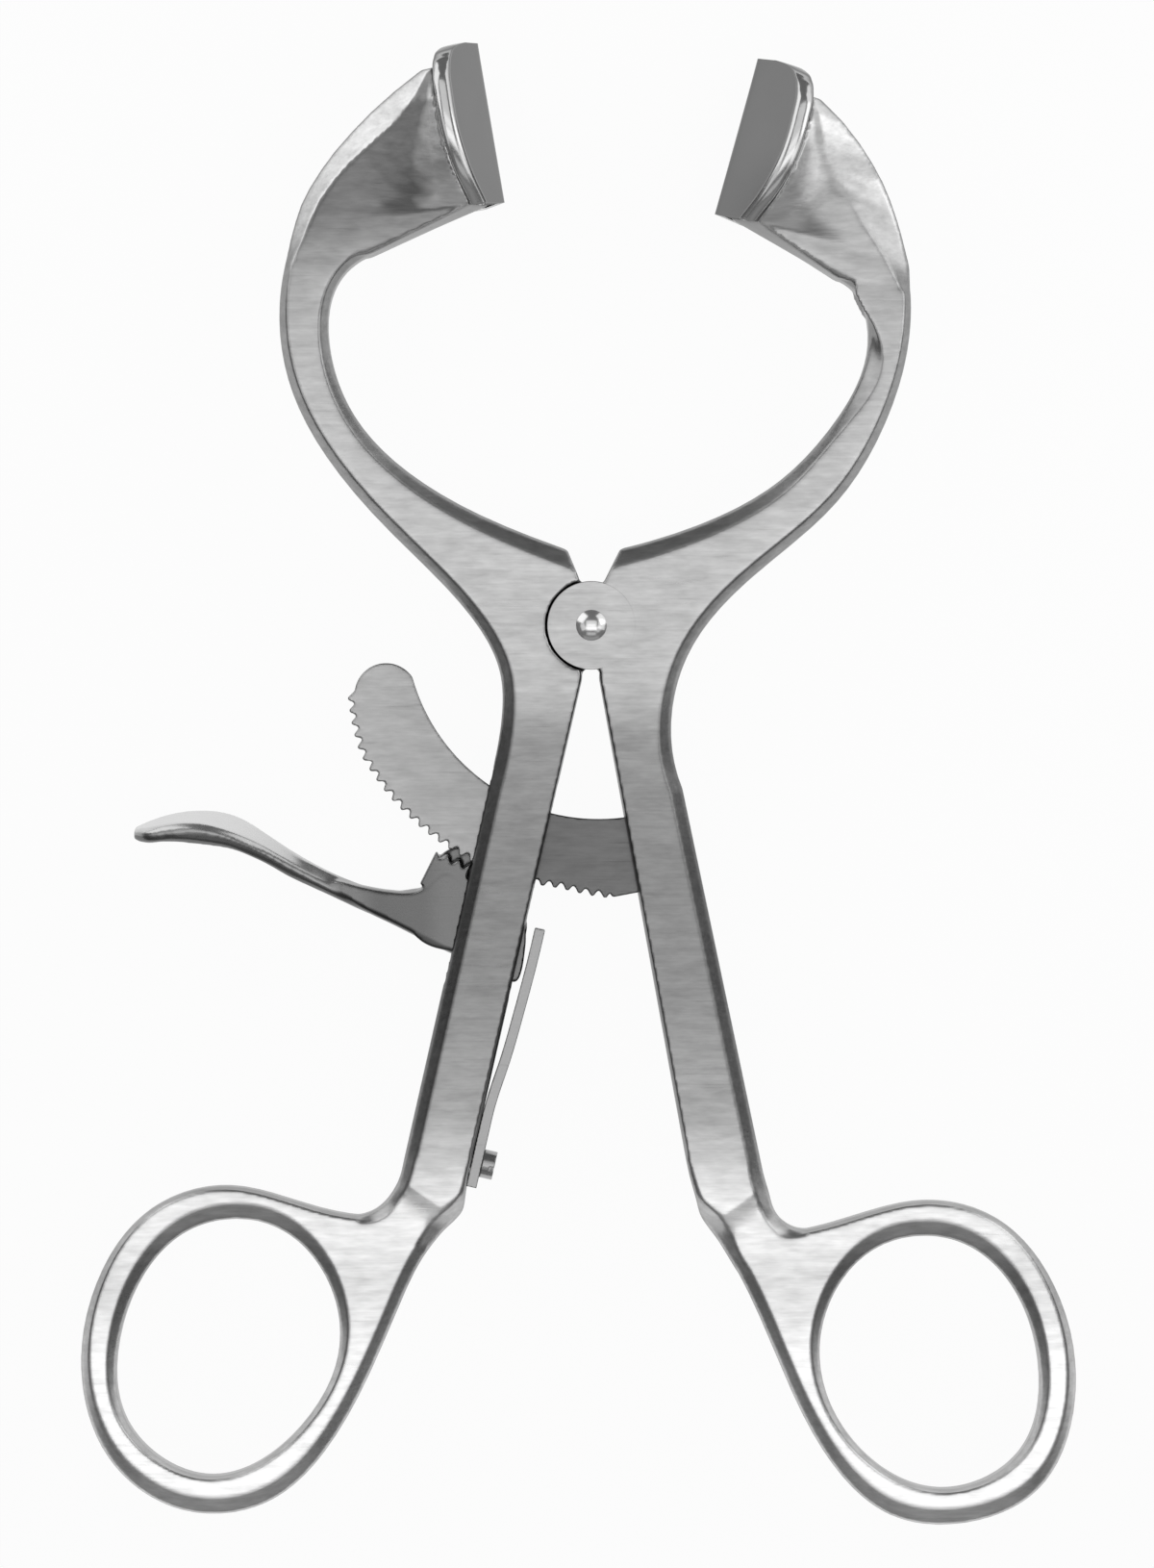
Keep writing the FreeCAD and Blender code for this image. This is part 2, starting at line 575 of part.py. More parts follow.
def pivot_rivet():
    """Domed head at the front, straight shaft, closed end flared flush into the back."""
    head_seat = bar_thickness + rivet_head_gap
    shaft = Part.makeCylinder(rivet_radius, head_seat + rivet_head_rim)
    closed_end = Part.makeCone(rivet_radius + rivet_flare, rivet_radius, rivet_flare)
    rim = Part.makeCylinder(rivet_head_radius, rivet_head_height, V(0, 0, head_seat))
    rise = rivet_head_height - rivet_head_rim
    dome_radius = (rivet_head_radius ** 2 + rise ** 2) / (2 * rise)
    dome = Part.makeSphere(dome_radius, V(0, 0, head_seat + rivet_head_height - dome_radius))
    return shaft.fuse([closed_end, rim.common(dome)])


def save(name, shape):
    if shape.ShapeType == "Compound" and len(shape.Solids) == 1:
        shape = shape.Solids[0]
    shape.exportStep("parts/" + name + ".step")
    print(name, shape.isValid(), len(shape.Solids), round(shape.Volume, 1),
          [round(v, 1) for v in (shape.BoundBox.XMin, shape.BoundBox.YMin, shape.BoundBox.ZMin,
                                 shape.BoundBox.XMax, shape.BoundBox.YMax, shape.BoundBox.ZMax)])


def screw_place():
    """Centre of the spring's foot on the shank's inner side, and the direction out of the shank."""
    down = left_down
    out = left_across
    start = V(left_shank_inner[0][0], left_shank_inner[0][1], mid_z)
    return start - down * screw_from_foot, out


def spring_screw():
    """Cheese-head screw through the spring's foot into the side of the shank."""
    place, out = screw_place()
    seat = place + out * spring_thickness
    head = Part.makeCylinder(screw_head_radius, screw_head_height, seat, out)
    shank = Part.makeCylinder(screw_shank_radius, screw_length, seat - out * screw_length, out)
    reach = screw_head_radius + cut_margin
    slot = Part.makeBox(2 * reach, screw_slot_width, 2 * screw_slot_depth)
    slot.translate(V(-reach, -screw_slot_width / 2, -screw_slot_depth))
    turn = FreeCAD.Rotation(V(0, 0, 1), out)
    slot.Placement = FreeCAD.Placement(seat + out * screw_head_height, turn).multiply(slot.Placement)
    return head.fuse(shank).cut(slot).removeSplitter()


def leaf_spring(screw):
    """Bent strip: its foot lies flat on the shank, its free end presses the pawl's tail."""
    place, out = screw_place()
    foot_end = place + left_down * spring_foot_below
    foot_top = place - left_down * spring_foot_above
    half = out * (spring_thickness / 2)
    foot = [foot_end + half, place + half, foot_top + half]
    line = [(p.x, p.y) for p in foot]
    bottom = mid_z - spring_width / 2
    points = from_pin(spring_end_from_pin) + spring_line + line[::-1]
    strip = offset_strip(points, spring_thickness, bottom, bottom + spring_width)
    return strip.cut(screw)


rivet = pivot_rivet()
arc = ratchet_arc()
left_plate = bite_plate(left_jaw)
right_plate = bite_plate(right_jaw)

left_lever = rounded_slab(left_bar_edges, 0, bar_thickness, bar_edge_depth)
left_lever = left_lever.cut(disc(hub_radius + hub_groove, mid_z - lap_gap / 2, bar_thickness + cut_margin))
left_lever = left_lever.fuse(disc(hub_radius, 0, mid_z - lap_gap / 2))
left_lever = left_lever.fuse(jaw_head(left_jaw))
left_lever = left_lever.fuse(finger_ring(left_ring_loop, left_ring_neck, left_ring_hole))
left_lever = left_lever.cut(shank_slot()).cut(rivet)
pawl_pin = Part.makeCylinder(pawl_pin_radius, bar_thickness - pawl_pin_cover, at(pawl_pin_place, 0))
screw = spring_screw()
left_lever = left_lever.cut(pawl_pin).cut(screw)
save("left_lever", left_lever)

right_lever = rounded_slab(right_bar_edges, 0, bar_thickness, bar_edge_depth)
right_lever = right_lever.cut(disc(hub_radius + hub_groove, -cut_margin, mid_z + lap_gap / 2))
right_lever = right_lever.fuse(disc(hub_radius, mid_z + lap_gap / 2, bar_thickness))
right_lever = right_lever.fuse(jaw_head(right_jaw))
right_lever = right_lever.fuse(finger_ring(right_ring_loop, right_ring_neck, right_ring_hole))
right_lever = right_lever.cut(disc(rivet_radius + rivet_fit, -cut_margin, bar_thickness + cut_margin))
right_lever = right_lever.cut(arc)
save("right_lever", right_lever)

save("left_bite_plate", left_plate)
save("right_bite_plate", right_plate)
save("pivot_rivet", rivet)
save("ratchet_arc", arc)
save("pawl_lever", pawl_lever())
save("pawl_pin", pawl_pin)
save("leaf_spring", leaf_spring(screw))
save("spring_screw", screw)
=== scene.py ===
import json
from math import pi, radians

import bmesh
import bpy
import numpy as np
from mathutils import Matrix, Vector

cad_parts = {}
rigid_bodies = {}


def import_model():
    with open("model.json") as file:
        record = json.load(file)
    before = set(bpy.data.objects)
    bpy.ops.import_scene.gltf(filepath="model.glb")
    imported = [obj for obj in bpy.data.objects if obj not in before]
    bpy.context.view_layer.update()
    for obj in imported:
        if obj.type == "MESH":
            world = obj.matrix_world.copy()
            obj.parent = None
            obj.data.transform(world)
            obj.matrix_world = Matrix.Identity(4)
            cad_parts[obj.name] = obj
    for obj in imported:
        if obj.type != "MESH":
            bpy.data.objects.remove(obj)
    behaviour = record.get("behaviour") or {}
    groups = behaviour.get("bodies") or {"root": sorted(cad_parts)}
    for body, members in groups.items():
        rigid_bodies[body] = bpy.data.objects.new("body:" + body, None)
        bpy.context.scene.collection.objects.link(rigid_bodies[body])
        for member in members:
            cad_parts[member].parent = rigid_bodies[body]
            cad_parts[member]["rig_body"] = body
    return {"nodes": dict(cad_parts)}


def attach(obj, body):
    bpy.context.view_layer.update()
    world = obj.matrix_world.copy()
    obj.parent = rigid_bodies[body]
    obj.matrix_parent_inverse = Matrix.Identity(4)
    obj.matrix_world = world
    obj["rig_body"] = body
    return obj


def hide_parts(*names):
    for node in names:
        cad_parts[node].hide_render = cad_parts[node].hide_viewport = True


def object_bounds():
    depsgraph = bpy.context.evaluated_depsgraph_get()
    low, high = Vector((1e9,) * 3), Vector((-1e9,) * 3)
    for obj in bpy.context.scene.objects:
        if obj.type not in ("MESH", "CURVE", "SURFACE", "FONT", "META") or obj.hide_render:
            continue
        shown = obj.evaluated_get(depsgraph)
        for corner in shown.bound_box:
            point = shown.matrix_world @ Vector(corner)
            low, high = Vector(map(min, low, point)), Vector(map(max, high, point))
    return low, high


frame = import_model()
cadLow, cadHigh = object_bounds()
print("frame loaded:", sorted(frame["nodes"]))

mm = 0.001


# Shader expressions


class Value:
    # a shader socket in an expression: each operator adds a Math node

    def __init__(self, tree, socket):
        self.tree, self.socket = tree, socket

    def maths(self, operation, first, second=None):
        node = self.tree.nodes.new("ShaderNodeMath")
        node.operation = operation
        for slot, item in zip(node.inputs, (first, second)):
            if isinstance(item, Value):
                self.tree.links.new(item.socket, slot)
            elif item is not None:
                slot.default_value = item
        return Value(self.tree, node.outputs[0])

    def __add__(self, other):
        return self.maths("ADD", self, other)

    def __radd__(self, other):
        return self.maths("ADD", other, self)

    def __sub__(self, other):
        return self.maths("SUBTRACT", self, other)

    def __rsub__(self, other):
        return self.maths("SUBTRACT", other, self)

    def __mul__(self, other):
        return self.maths("MULTIPLY", self, other)

    def __rmul__(self, other):
        return self.maths("MULTIPLY", other, self)

    def clamped(self):
        node = self.maths("ADD", self, 0.0)
        node.socket.node.use_clamp = True
        return node


class Finish:
    # one material's node tree: node() makes any node from its settings and inputs. An input goes by its name,
    # with _ for a space, or by i and its number, as in i0.

    def __init__(self, tree):
        tree.nodes.clear()
        self.tree = tree

    def node(self, kind, settings=None, out=0, **inputs):
        made = self.tree.nodes.new(kind)
        for name, setting in (settings or {}).items():
            if name == "stops":
                ramp = made.color_ramp
                ramp.interpolation = "EASE"
                middle = [ramp.elements.new(place) for place, level in setting[1:-1]]
                elements = [ramp.elements[0]] + middle + [ramp.elements[len(setting) - 1]]
                for element, (place, level) in zip(elements, setting):
                    element.color = grey(level)
            else:
                setattr(made, name, setting)
        for name, item in inputs.items():
            slot = made.inputs[int(name[1:])] if name[1:].isdigit() else made.inputs[name.replace("_", " ")]
            if isinstance(item, Value):
                self.tree.links.new(item.socket, slot)
            else:
                slot.default_value = item
        return Value(self.tree, made.outputs[out]) if made.outputs else None

    def axes(self, vector):
        # the three numbers of a vector
        split = self.node("ShaderNodeSeparateXYZ", i0=vector)
        return [Value(self.tree, socket) for socket in split.socket.node.outputs]

    def between(self, value, low, high):
        # 0 at low, 1 at high and a straight slope between them
        return ((value - low) * (1 / (high - low))).clamped()

    def eased(self, value, levels, unit=1.0):
        # a level that eases from one (place, level) to the next, from the lowest place to the highest
        low, high = levels[0][0], levels[-1][0]
        place = self.between(value, low * unit, high * unit)
        stops = [((at - low) / (high - low), level / levelScale) for at, level in levels]
        return self.node("ShaderNodeValToRGB", {"stops": stops}, Fac=place) * levelScale


levelScale = 2.0     # a ramp's colours stop at 1, so levels are kept there at a half
coordinate = {"normal": 1, "object": 3}     # outputs of a Texture Coordinate node


def grey(level):
    return (level, level, level, 1.0)


# Steel finishes. Lengths are in millimetres, angles in degrees from +X. Several keys paint light and shade
# into the tone, as steel() tells.

steels = {
    "leverSteel": {"base": 0.60, "rough": 0.30, "grainAngle": 3, "grainLength": 6.0, "grainPitch": 0.22,
                   "grainDepth": 0.35, "grainTone": 0.07, "cloud": 0.06, "cloudSize": 16, "scratches": 0.03,
                   "streak": 0.15, "streakLength": 3.0, "streakWidth": 0.8,
                   # side and wall: painted shade, darker tones on faces turned to the side and on upright
                   # walls
                   "side": 0.36, "sideFrom": 0.80, "sideTo": 0.975,
                   "wall": 0.20, "wallFrom": 0.15, "wallTo": 0.62,
                   # alongY: painted light and shade, lighter at the rings and the joint, darker along the
                   # shanks
                   "alongY": [(-95, 1.62), (-79, 1.60), (-68, 1.20), (-63, 1.38), (-60.5, 1.38), (-58, 1.15),
                              (-55, 0.88), (-50, 0.62), (-37, 0.46), (-25, 0.44), (-13, 0.52), (-5, 0.89),
                              (9, 0.95), (24, 0.93), (37, 0.84)],
                   # jaws: painted light and shade, a lighter base as a painted highlight on the outer facets,
                   # and darker flares, more so on the left
                   "jawFrom": 35.0, "jawTo": 43.0, "jawLitBase": 0.92, "jawSideFrom": 0.55, "jawSideTo": 0.76,
                   "flareFrom": 0.86, "flareTo": 0.91, "flareShadeAlongX": [(-30, 0.25), (0, 0.40), (30, 0.55)]},
    "plateSteel": {"base": 0.70, "rough": 0.17, "grainAngle": 80, "grainLength": 3.0, "grainPitch": 0.14,
                   "grainDepth": 0.12, "grainTone": 0.02, "cloud": 0.05, "cloudSize": 8, "scratches": 0.02,
                   # side: painted shade, the plates' faces turned to the side are darker
                   "side": 0.165, "sideFrom": 0.52, "sideTo": 0.84},
    "rivetSteel": {"base": 0.85, "rough": 0.20, "grainAngle": 0, "grainLength": 1.0, "grainPitch": 0.15,
                   "grainDepth": 0.08, "grainTone": 0.02, "cloud": 0.03, "cloudSize": 4, "scratches": 0.02},
    "arcSteel": {"base": 0.40, "rough": 0.34, "grainAngle": -12, "grainLength": 3.0, "grainPitch": 0.18,
                 "grainDepth": 0.35, "grainTone": 0.07, "cloud": 0.06, "cloudSize": 7, "scratches": 0.05,
                 "streak": 0.12, "streakLength": 3.0, "streakWidth": 0.8,
                 # side: painted shade on faces turned to the side
                 "side": 0.12, "sideFrom": 0.5, "sideTo": 0.95,
                 # alongX: painted shade, the arc is darker where it lies between the shanks
                 "alongX": [(-26, 1.2), (-12, 1.02), (-6, 0.42), (9, 0.42)]},
    "pawlSteel": {"base": 0.60, "rough": 0.26, "grainAngle": 20, "grainLength": 3.0, "grainPitch": 0.2,
                  "grainDepth": 0.2, "grainTone": 0.04, "cloud": 0.06, "cloudSize": 9, "scratches": 0.03,
                  # tilt: painted light and shade, faces leaning towards +Y are lighter, those leaning away
                  # darker
                  "tilt": [(-1.0, 0.26), (-0.13, 0.30), (-0.02, 0.60), (0.10, 0.64), (0.45, 1.05),
                           (1.0, 1.1)],
                  # alongX: painted shade, the web of the pawl is darker
                  "alongX": [(-48, 1.0), (-29, 1.0), (-25, 0.62), (-22, 0.42), (-18, 0.44), (-15, 0.56),
                             (-12, 0.56)]},
    "springSteel": {"base": 0.40, "rough": 0.32, "grainAngle": 75, "grainLength": 4.0, "grainPitch": 0.15,
                    "grainDepth": 0.3, "grainTone": 0.05, "cloud": 0.04, "cloudSize": 6, "scratches": 0.04,
                    # side: painted shade on faces turned to the side
                    "side": 0.2, "sideFrom": 0.5, "sideTo": 0.95},
    "screwSteel": {"base": 0.40, "rough": 0.22, "grainAngle": 0, "grainLength": 1.0, "grainPitch": 0.15,
                   "grainDepth": 0.15, "grainTone": 0.03, "cloud": 0.04, "cloudSize": 3, "scratches": 0.03},
}


allSteel = {   # what the finishes share: noise, scratches, and what each adds to the bump and the roughness
    "noiseMiddle": 0.5, "noiseSpan": 4, "noiseRoughness": 0.6, "grainDetail": 3.0, "cloudDetail": 3.0,
    "streakDetail": 2.0, "scratchDetail": 1.0, "scratchTurn": 57, "scratchLength": 9, "scratchWidth": 0.22,
    "scratchDepth": 0.5, "scratchFrom": 0.68, "scratchEdge": 14.0, "bumpHeight": 0.02, "scratchBump": 0.5,
    "grainRough": 0.10, "cloudRough": 0.08, "scratchRough": 0.06,
}


# Brushed steel. The grain is noise stretched along the brushing line, which moves the tone, the roughness
# and a fine bump. Wider streaks lie along the same line, broad noise clouds the polish, and a few thin
# scratches cross it. "alongX" and "alongY" are painted light and shade that ease the tone along the piece,
# and "tilt" is painted light that lightens a face by how far it leans towards +Y. Faces turned to the side
# get painted shade: "side" is their darker tone, and "wall" is the tone of the upright ones. From "jawFrom"
# on, the jaws have painted tones of their own: lighter on the outer facets as a painted highlight, and darker
# on the faces that lie nearly flat as painted shade, which also changes along x.
def steel(name):
    look = steels[name]
    material = bpy.data.materials.new(name)
    material.use_nodes = True
    f = Finish(material.node_tree)
    place = f.node("ShaderNodeTexCoord", out=coordinate["object"])

    def brushed(turn, length, width, depth, detail):
        turned = f.node("ShaderNodeMapping", i0=place, Rotation=(0, 0, radians(-turn)),
                        Scale=(1 / (length * mm), 1 / (width * mm), 1 / (depth * mm)))
        return f.node("ShaderNodeTexNoise", Vector=turned, Scale=1.0, Detail=detail,
                      Roughness=allSteel["noiseRoughness"])

    angle, pitch = look["grainAngle"], look["grainPitch"]
    middle, span = allSteel["noiseMiddle"], allSteel["noiseSpan"]
    grain = brushed(angle, look["grainLength"], pitch, pitch, allSteel["grainDetail"])
    cloud = f.node("ShaderNodeTexNoise", Vector=place, Scale=1 / (look["cloudSize"] * mm),
                   Detail=allSteel["cloudDetail"])
    marks = brushed(angle - allSteel["scratchTurn"], allSteel["scratchLength"], allSteel["scratchWidth"],
                    allSteel["scratchDepth"], allSteel["scratchDetail"])
    scratch = ((marks - allSteel["scratchFrom"]) * allSteel["scratchEdge"]).clamped()
    tone = 1.0 + (grain - middle) * (look["grainTone"] * span) + (cloud - middle) * (look["cloud"] * span)
    if "streak" in look:
        streaks = brushed(angle, look["streakLength"], look["streakWidth"], look["streakWidth"],
                          allSteel["streakDetail"])
        tone = tone + (streaks - middle) * (look["streak"] * span)
    tone = (tone - scratch * look["scratches"]) * look["base"]
    x, y, _ = f.axes(place)
    # painted light and shade: the tone is eased lighter or darker along y and x, where light falls brighter
    # or dimmer and where parts shade each other
    if "alongY" in look:
        tone = tone * f.eased(y, look["alongY"], mm)
    if "alongX" in look:
        tone = tone * f.eased(x, look["alongX"], mm)
    _, leanY, leanZ = f.axes(f.node("ShaderNodeTexCoord", out=coordinate["normal"]))
    # painted light: faces that lean towards +Y are made lighter, as if lit from that side, and the others
    # darker
    if "tilt" in look:
        tone = tone * f.eased(leanY, look["tilt"])
    # painted shade: faces turned to the side, and the upright walls more, get a darker tone that stands in
    # for dim reflections
    if "side" in look:
        flatness = leanZ.maths("ABSOLUTE", leanZ)
        sideShadeTone = tone * (look["side"] / look["base"])
        if "wall" in look:
            wallShare = look["wall"] / look["side"]
            leaning = f.between(flatness, look["wallFrom"], look["wallTo"])
            sideShadeTone = sideShadeTone * (wallShare + (1 - wallShare) * leaning)
        sidePaintedShade = sideShadeTone + (tone - sideShadeTone) * f.between(flatness, look["sideFrom"], look["sideTo"])
        # painted light and shade on the jaws: the outer facets are lighter as a painted highlight, and the
        # flat-lying flares darker as painted shade
        if "jawLitBase" in look:
            lying = f.between(flatness, look["flareFrom"], look["flareTo"])
            flare = 1.0 + (f.eased(x, look["flareShadeAlongX"], mm) - 1.0) * lying
            jawLitTone = tone * flare * (look["jawLitBase"] / look["base"])
            level = f.between(flatness, look["jawSideFrom"], look["jawSideTo"])
            jawPaintedLightAndShade = sideShadeTone + (jawLitTone - sideShadeTone) * level
            sidePaintedShade = sidePaintedShade + (jawPaintedLightAndShade - sidePaintedShade) * f.between(y, look["jawFrom"] * mm, look["jawTo"] * mm)
        tone = sidePaintedShade
    shade = f.node("ShaderNodeVectorMath", {"operation": "SCALE"}, i0=(1.0, 1.0, 1.0), Scale=tone)
    bump = f.node("ShaderNodeBump", Strength=look["grainDepth"], Distance=allSteel["bumpHeight"] * mm,
                  Height=grain - scratch * allSteel["scratchBump"])
    rough = (look["rough"] + (grain - middle) * allSteel["grainRough"]
             + (cloud - middle) * allSteel["cloudRough"] + scratch * allSteel["scratchRough"])
    shader = f.node("ShaderNodeBsdfPrincipled", Base_Color=shade, Metallic=1.0, Roughness=rough, Normal=bump)
    f.node("ShaderNodeOutputMaterial", Surface=shader)
    return material


pieceFinish = {   # the finish of each node and the record's slot that it stands for
    "left_lever": ("leverSteel", "lever_steel"), "right_lever": ("leverSteel", "lever_steel"),
    "left_bite_plate": ("plateSteel", "plate_steel"), "right_bite_plate": ("plateSteel", "plate_steel"),
    "pivot_rivet": ("rivetSteel", "rivet_steel"), "ratchet_arc": ("arcSteel", "arc_steel"),
    "pawl_lever": ("pawlSteel", "pawl_steel"), "pawl_pin": ("rivetSteel", "rivet_steel"),
    "leaf_spring": ("springSteel", "spring_steel"), "spring_screw": ("screwSteel", "screw_steel"),
}

finishes = {name: steel(name) for name in steels}
print("finishes made:", len(finishes))


def takesThePlaceOf(piece, nodeName):
    finish, slot = pieceFinish[nodeName]
    piece.data.materials.clear()
    piece.data.materials.append(finishes[finish])
    bpy.context.scene.collection.objects.link(piece)
    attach(piece, frame["nodes"][nodeName]["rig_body"])
    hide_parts(nodeName)


# Surfaces worked out with numpy. A surface is a grid of points: rows run along the piece, and each row
# goes round it. surface() joins the rows into one closed skin and closes both ends with fans.


def surface(name, points):
    rows, around, _ = points.shape
    row = np.arange(rows - 1)[:, None]
    column = np.arange(around)[None, :]
    following = (column + 1) % around
    quads = np.stack([row * around + column, row * around + following,
                      (row + 1) * around + following, (row + 1) * around + column], axis=-1).reshape(-1, 4)
    ends = np.array([points[0].mean(axis=0), points[-1].mean(axis=0)])
    vertices = np.concatenate([points.reshape(-1, 3), ends])
    ring = np.arange(around)
    after = (ring + 1) % around
    first = np.stack([after, ring, np.full(around, rows * around)], axis=-1)
    last = (rows - 1) * around
    second = np.stack([last + ring, last + after, np.full(around, rows * around + 1)], axis=-1)
    mesh = bpy.data.meshes.new(name)
    mesh.from_pydata((vertices * mm).tolist(), [], quads.tolist() + first.tolist() + second.tolist())
    skin = bmesh.new()
    skin.from_mesh(mesh)
    bmesh.ops.recalc_face_normals(skin, faces=skin.faces)
    skin.to_mesh(mesh)
    skin.free()
    mesh.shade_smooth()
    return bpy.data.objects.new(name, mesh)


# A smooth curve through (place, value) pairs: each span is a cubic whose end slopes are weighted means of
# the slopes on both sides of its ends
def smoothThrough(pairs, at):
    place, value = np.array(pairs).T
    slope = np.gradient(value, place)
    k = np.clip(np.searchsorted(place, at) - 1, 0, len(place) - 2)
    span = place[k + 1] - place[k]
    t = (at - place[k]) / span
    return ((2 * t ** 3 - 3 * t ** 2 + 1) * value[k] + (3 * t ** 2 - 2 * t ** 3) * value[k + 1]
            + span * (t ** 3 - 2 * t ** 2 + t) * slope[k] + span * (t ** 3 - t ** 2) * slope[k + 1])


# Pieces with worked edges: each takes the place of its CAD node

workedEdges = {   # size of the net in mm, rounds of smoothing
    "left_lever": {"net": 0.27, "rounds": 4}, "right_lever": {"net": 0.27, "rounds": 4},
    "pawl_lever": {"net": 0.15, "rounds": 16}, "ratchet_arc": {"net": 0.16, "rounds": 2},
    "leaf_spring": {"net": 0.10, "rounds": 3}, "spring_screw": {"net": 0.06, "rounds": 3},
}
netRules = {"joined": 0.002, "pull": 0.5}     # points this near in mm are one, share of the way in each round


def without(mesh, block):
    # the mesh with the block cut out of it
    body = bpy.data.objects.new("body", mesh)
    for part in (body, block):
        bpy.context.scene.collection.objects.link(part)
    cut = body.modifiers.new("cut", "BOOLEAN")
    cut.operation, cut.object, cut.solver = "DIFFERENCE", block, "EXACT"
    left = bpy.data.meshes.new_from_object(body.evaluated_get(bpy.context.evaluated_depsgraph_get()))
    for part in (body, block):
        bpy.data.objects.remove(part)
    return left


# The node's own shape on an even net, relaxed so that its edges are rounded over as by a polishing wheel.
# A block can be taken out of it first, and skins that are added to it melt into it.
def worked(nodeName, net, rounds, skins=(), taken=None):
    mesh = frame["nodes"][nodeName].data.copy()
    mesh.name = nodeName + "_worked"
    grid = bmesh.new()
    grid.from_mesh(mesh)
    bmesh.ops.remove_doubles(grid, verts=grid.verts, dist=netRules["joined"] * mm)
    if taken:
        grid.to_mesh(mesh)
        grid.free()
        mesh = without(mesh, taken)
        grid = bmesh.new()
        grid.from_mesh(mesh)
    for skin in skins:
        grid.from_mesh(skin.data)
        bpy.data.objects.remove(skin)
    grid.to_mesh(mesh)
    grid.free()
    piece = bpy.data.objects.new(nodeName + "_worked", mesh)
    evened = piece.modifiers.new("evenNet", "REMESH")
    evened.mode = "VOXEL"
    evened.voxel_size = net * mm
    evened.use_smooth_shade = True
    relaxed = piece.modifiers.new("relaxed", "SMOOTH")
    relaxed.factor = netRules["pull"]
    relaxed.iterations = rounds
    takesThePlaceOf(piece, nodeName)
    shape = piece.evaluated_get(bpy.context.evaluated_depsgraph_get()).to_mesh()
    print(piece.name, "triangles", 2 * len(shape.polygons))


# Thumb lever: a rounded bar carried along x. Its section is a superellipse, |u|^n + |v|^n = 1, as wide and
# as thick as the stations say, turned about x from lying flat at the thumb to standing at the web.
thumb = {"pin": (-9.0, -31.3), "middle": 2.75, "power": 3.2, "rows": 150, "around": 64,
         # x and top y from the pin, width, thickness, turn in degrees
         "stations": [(-38.7, 10.35, 2.6, 1.0, 9), (-37.7, 10.85, 4.8, 1.6, 9), (-35.0, 11.8, 6.7, 2.0, 11),
                      (-32.1, 12.2, 7.2, 2.35, 12.5), (-28.6, 11.8, 6.4, 2.1, 19),
                      (-25.1, 10.0, 4.1, 2.0, 30), (-22.3, 8.2, 3.1, 1.95, 43), (-18.5, 6.0, 2.5, 1.7, 62),
                      (-14.2, 4.1, 2.7, 2.0, 82)]}


def thumbSurface(facts):
    stations = np.array(facts["stations"])
    x = np.linspace(stations[0, 0], stations[-1, 0], facts["rows"])
    top, width, thick, turn = (smoothThrough(list(zip(stations[:, 0], column)), x)[:, None]
                               for column in stations.T[1:])
    turn = np.radians(turn)
    angle = np.linspace(0, 2 * pi, facts["around"], endpoint=False)[None, :]
    u = np.sign(np.cos(angle)) * np.abs(np.cos(angle)) ** (2 / facts["power"]) * width / 2
    v = np.sign(np.sin(angle)) * np.abs(np.sin(angle)) ** (2 / facts["power"]) * thick / 2
    y = top - (np.sin(turn) * width + np.cos(turn) * thick) / 2 - np.sin(turn) * u + np.cos(turn) * v
    z = facts["middle"] + np.cos(turn) * u + np.sin(turn) * v
    return np.stack([np.broadcast_to(x[:, None], y.shape) + facts["pin"][0], y + facts["pin"][1], z], axis=-1)


# Web: a slab between two smooth edges, y = low(x) and y = high(x), and between the heights
# middle + depth(x) and middle - depth(x). Both of its long edges are half ellipses.
web = {"low": [(-28.0, -26.9), (-26.5, -28.0), (-24.5, -29.3), (-20.5, -31.3), (-17.1, -33.0), (-14.1, -34.4),
               (-11.6, -35.0)],
       "high": [(-28.0, -26.3), (-26.5, -26.4), (-24.0, -27.0), (-21.2, -27.5), (-18.6, -27.55),
                (-17.0, -27.0), (-16.1, -26.1), (-15.4, -25.6), (-13.5, -26.6), (-11.6, -27.9)],
       "depth": [(-28.0, 0.7), (-26.0, 1.1), (-23.0, 1.45), (-19.5, 1.6), (-11.6, 1.6)],
       "middle": 2.8, "rows": 160, "across": 40, "round": 12, "edge": 0.45, "edgeShare": 0.3}


def webSurface(facts):
    x = np.linspace(facts["low"][0][0], facts["low"][-1][0], facts["rows"])
    low, high, depth = (smoothThrough(facts[key], x)[:, None] for key in ("low", "high", "depth"))
    edge = np.minimum(facts["edge"], (high - low) * facts["edgeShare"])
    share = np.linspace(0, 1, facts["across"])[None, :]
    y = low + edge + (high - low - 2 * edge) * share
    turn = np.linspace(pi / 2, -pi / 2, facts["round"] + 2)[None, 1:-1]
    bulge = edge * np.cos(turn)
    y = np.concatenate([y, high - edge + bulge, y[:, ::-1], low + edge - bulge], axis=1)
    flat = depth + 0 * share
    rim = depth * np.sin(turn)
    z = facts["middle"] + np.concatenate([flat, rim, -flat, -rim], axis=1)
    return np.stack([np.broadcast_to(x[:, None], y.shape), y, z], axis=-1)


